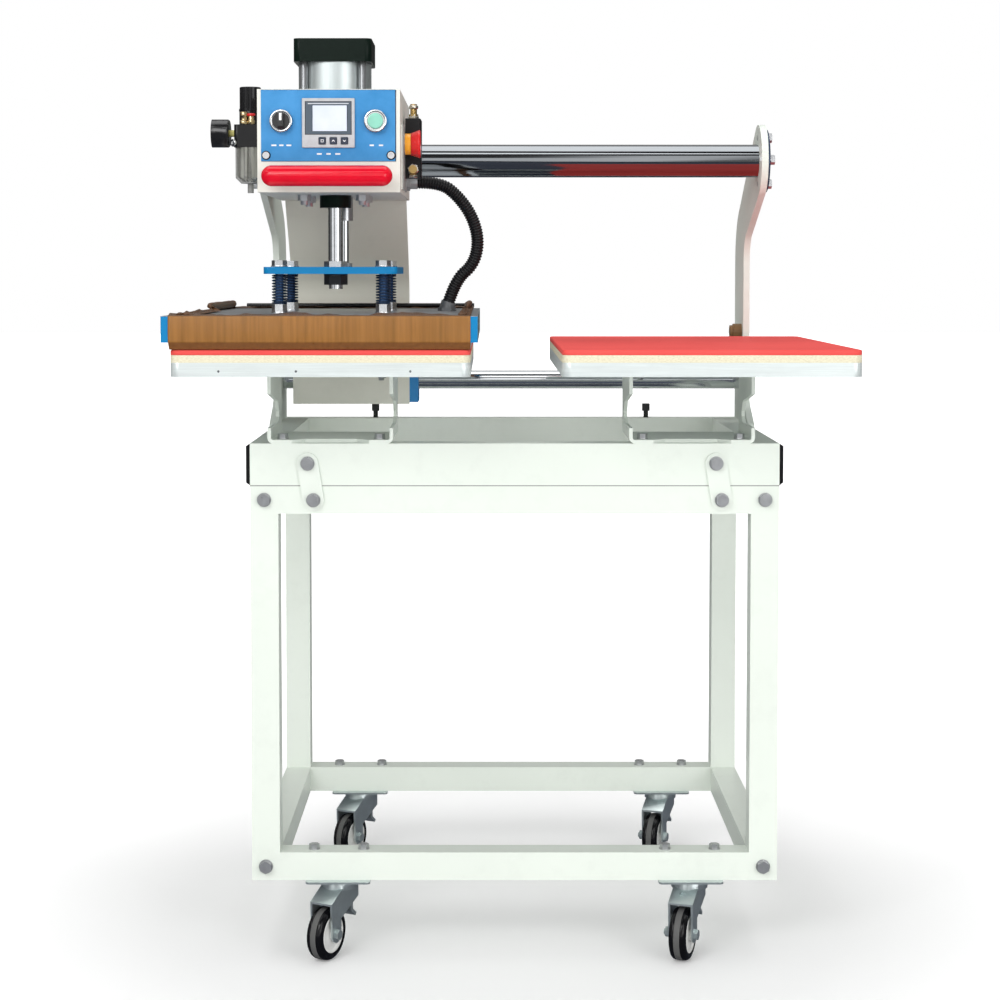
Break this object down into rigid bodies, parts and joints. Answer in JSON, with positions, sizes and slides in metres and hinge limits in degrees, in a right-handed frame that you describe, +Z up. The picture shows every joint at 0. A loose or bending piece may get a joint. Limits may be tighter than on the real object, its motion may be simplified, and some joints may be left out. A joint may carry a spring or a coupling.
{
  "type": "pneumatic heat press",
  "caption": "Dual-station pneumatic heat press on a wheeled stand: a sliding press head on a beam, with a sprung heated platen above padded lower platens.",
  "frame": {"origin": "on the floor, under the middle of the machine's outline", "axes": "+Z up, +X to the operator's right, -Y towards the operator; the head stands over the left station, pressed down"},
  "size_m": [0.932, 0.7608, 1.313],
  "materials": {
    "frame_paint": "powder coat, satin",
    "beige_paint": "powder coat, satin",
    "blue_paint": "powder coat, satin",
    "panel_blue": "printed sheet, satin",
    "zinc_steel": "zinc plated",
    "dark_steel": "blackened",
    "chromed_steel": "polished",
    "plain_aluminium": "milled",
    "black_cast": "black coat",
    "black_plastic": "moulded",
    "cream_board": "pressed board",
    "red_silicone": "matte",
    "brown_cloth": "coated glass cloth",
    "hose_black": "corrugated",
    "handle_red": "moulded",
    "button_green": "moulded",
    "stop_red": "moulded",
    "clear_smoke": "clear",
    "fitting_brass": "turned",
    "buffer_rubber": "matte",
    "gauge_case": "moulded",
    "wheel_rubber": "gloss"
  },
  "bodies": {
    "stand": {"stand_legs": "frame_paint", "stand_rails": "frame_paint", "base_rails": "frame_paint", "rail_end_caps": "black_plastic", "link_plates": "frame_paint", "frame_bolts": "zinc_steel", "platen_brackets": "frame_paint", "lower_platens": "plain_aluminium", "platen_boards": "cream_board", "silicone_pads": "red_silicone", "side_plates": "frame_paint", "beam_shaft": "chromed_steel", "guide_shaft": "chromed_steel", "travel_buffers": "buffer_rubber", "caster_plates": "zinc_steel"},
    "carriage": {"head_case": "frame_paint", "control_panel": "panel_blue", "carriage_fasteners": "zinc_steel", "head_handle": "handle_red", "controller_case": "black_plastic", "cylinder_heads": "black_cast", "cylinder_barrel": "plain_aluminium", "carriage_bearings": "dark_steel", "back_plate": "beige_paint", "regulator_body": "black_cast", "regulator_bowl": "clear_smoke", "pressure_gauge": "gauge_case", "valve_body": "black_cast", "brass_fittings": "fitting_brass", "button_bases": "chromed_steel", "hose_connector": "zinc_steel", "power_hose": "hose_black"},
    "ram": {"press_rods": "chromed_steel", "rod_nuts": "zinc_steel", "spring_plate": "blue_paint"},
    "heated_platen": {"heater_plate": "plain_aluminium", "platen_cover": "blue_paint", "cloth_cover": "brown_cloth", "spring_bolts": "zinc_steel", "platen_springs": "dark_steel", "hose_gland": "dark_steel"},
    "selector": {"selector_knob": "black_plastic"},
    "start_button": {"green_button": "button_green"},
    "emergency_stop": {"stop_button": "stop_red"},
    "pressure_knob": {"regulator_knob": "black_plastic"},
    "key_1": {"key_left": "black_plastic"},
    "key_2": {"key_middle": "black_plastic"},
    "key_3": {"key_right": "black_plastic"},
    "fork_front_left": {"caster_fork_front_left": "zinc_steel"},
    "wheel_front_left": {"caster_wheel_front_left": "wheel_rubber"},
    "brake_front_left": {"caster_brake_front_left": "zinc_steel"},
    "fork_front_right": {"caster_fork_front_right": "zinc_steel"},
    "wheel_front_right": {"caster_wheel_front_right": "wheel_rubber"},
    "brake_front_right": {"caster_brake_front_right": "zinc_steel"},
    "fork_rear_left": {"caster_fork_rear_left": "zinc_steel"},
    "wheel_rear_left": {"caster_wheel_rear_left": "wheel_rubber"},
    "brake_rear_left": {"caster_brake_rear_left": "zinc_steel"},
    "fork_rear_right": {"caster_fork_rear_right": "zinc_steel"},
    "wheel_rear_right": {"caster_wheel_rear_right": "wheel_rubber"},
    "brake_rear_right": {"caster_brake_rear_right": "zinc_steel"}
  },
  "joints": [
    {"name": "carriage_slide", "type": "slide", "parent": "stand", "child": "carriage", "axis": [1, 0, 0], "range_m": [0, 0.522]},
    {"name": "ram_slide", "type": "slide", "parent": "carriage", "child": "ram", "axis": [0, 0, 1], "range_m": [0, 0.055], "deforming": ["power_hose"]},
    {"name": "platen_float", "type": "slide", "parent": "ram", "child": "heated_platen", "axis": [0, 0, 1], "range_m": [0, 0.006], "stiffness_N_per_m": 60000, "springref_m": -0.002, "deforming": ["platen_springs", "power_hose"]},
    {"name": "selector_turn", "type": "hinge", "parent": "carriage", "child": "selector", "pos_m": [-0.322, -0.2106, 1.189], "axis": [0, 1, 0], "range_deg": [-45, 45]},
    {"name": "start_press", "type": "slide", "parent": "carriage", "child": "start_button", "axis": [0, 1, 0], "range_m": [0, 0.004], "stiffness_N_per_m": 600, "springref_m": -0.002},
    {"name": "stop_press", "type": "slide", "parent": "carriage", "child": "emergency_stop", "axis": [-1, 0, 0], "range_m": [0, 0.005]},
    {"name": "pressure_turn", "type": "hinge", "parent": "carriage", "child": "pressure_knob", "pos_m": [-0.381, -0.0616, 1.213], "axis": [0, 0, 1], "range_deg": [-720, 720]},
    {"name": "key_left_press", "type": "slide", "parent": "carriage", "child": "key_1", "axis": [0, 1, 0], "range_m": [0, 0.0006], "stiffness_N_per_m": 1500, "springref_m": -0.0003},
    {"name": "key_middle_press", "type": "slide", "parent": "carriage", "child": "key_2", "axis": [0, 1, 0], "range_m": [0, 0.0006], "stiffness_N_per_m": 1500, "springref_m": -0.0003},
    {"name": "key_right_press", "type": "slide", "parent": "carriage", "child": "key_3", "axis": [0, 1, 0], "range_m": [0, 0.0006], "stiffness_N_per_m": 1500, "springref_m": -0.0003},
    {"name": "swivel_front_left", "type": "hinge", "parent": "stand", "child": "fork_front_left", "pos_m": [-0.247, -0.1716, 0.0987], "axis": [0, 0, 1], "continuous": true},
    {"name": "roll_front_left", "type": "hinge", "parent": "fork_front_left", "child": "wheel_front_left", "pos_m": [-0.26334, -0.20368, 0.0375], "axis": [0.891, -0.454, 0], "continuous": true},
    {"name": "brake_tip_front_left", "type": "hinge", "parent": "fork_front_left", "child": "brake_front_left", "pos_m": [-0.24064, -0.15913, 0.084], "axis": [-0.891, 0.454, 0], "range_deg": [0, 24]},
    {"name": "swivel_front_right", "type": "hinge", "parent": "stand", "child": "fork_front_right", "pos_m": [0.257, -0.1716, 0.0987], "axis": [0, 0, 1], "continuous": true},
    {"name": "roll_front_right", "type": "hinge", "parent": "fork_front_right", "child": "wheel_front_right", "pos_m": [0.24469, -0.20543, 0.0375], "axis": [0.9397, -0.342, 0], "continuous": true},
    {"name": "brake_tip_front_right", "type": "hinge", "parent": "fork_front_right", "child": "brake_front_right", "pos_m": [0.26179, -0.15844, 0.084], "axis": [-0.9397, 0.342, 0], "range_deg": [0, 24]},
    {"name": "swivel_rear_left", "type": "hinge", "parent": "stand", "child": "fork_rear_left", "pos_m": [-0.247, 0.3484, 0.0987], "axis": [0, 0, 1], "continuous": true},
    {"name": "roll_rear_left", "type": "hinge", "parent": "fork_rear_left", "child": "wheel_rear_left", "pos_m": [-0.26334, 0.31632, 0.0375], "axis": [0.891, -0.454, 0], "continuous": true},
    {"name": "brake_tip_rear_left", "type": "hinge", "parent": "fork_rear_left", "child": "brake_rear_left", "pos_m": [-0.24064, 0.36087, 0.084], "axis": [-0.891, 0.454, 0], "range_deg": [0, 24]},
    {"name": "swivel_rear_right", "type": "hinge", "parent": "stand", "child": "fork_rear_right", "pos_m": [0.257, 0.3484, 0.0987], "axis": [0, 0, 1], "continuous": true},
    {"name": "roll_rear_right", "type": "hinge", "parent": "fork_rear_right", "child": "wheel_rear_right", "pos_m": [0.24469, 0.31457, 0.0375], "axis": [0.9397, -0.342, 0], "continuous": true},
    {"name": "brake_tip_rear_right", "type": "hinge", "parent": "fork_rear_right", "child": "brake_rear_right", "pos_m": [0.26179, 0.36156, 0.084], "axis": [-0.9397, 0.342, 0], "range_deg": [0, 24]}
  ]
}
